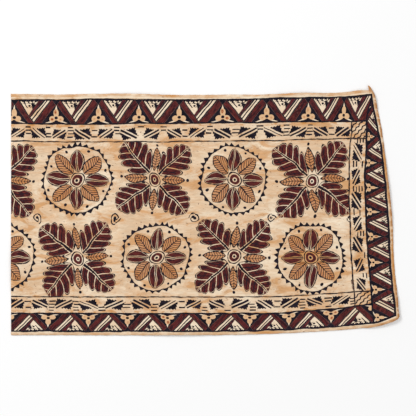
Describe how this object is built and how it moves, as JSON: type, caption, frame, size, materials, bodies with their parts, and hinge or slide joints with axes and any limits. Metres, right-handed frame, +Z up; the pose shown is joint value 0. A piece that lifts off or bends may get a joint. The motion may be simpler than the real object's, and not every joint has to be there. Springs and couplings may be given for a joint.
{
  "type": "tapa bark cloth",
  "caption": "Length of painted bark cloth lying flat, with a triangle border on three sides, a narrow turned hem, and one plain cut end.",
  "frame": {"origin": "on the surface that the cloth lies on, under the middle of its bounding box", "axes": "+X along the cloth to its hemmed end, +Y across it to its upper edge, +Z up out of its painted face"},
  "size_m": [0.9702, 0.624, 0.0078],
  "materials": {
    "bark": "matt beaten bark with flat earth-brown and black paint on its face"
  },
  "bodies": {
    "root": {"tapa_cloth": "bark"}
  },
  "joints": []
}
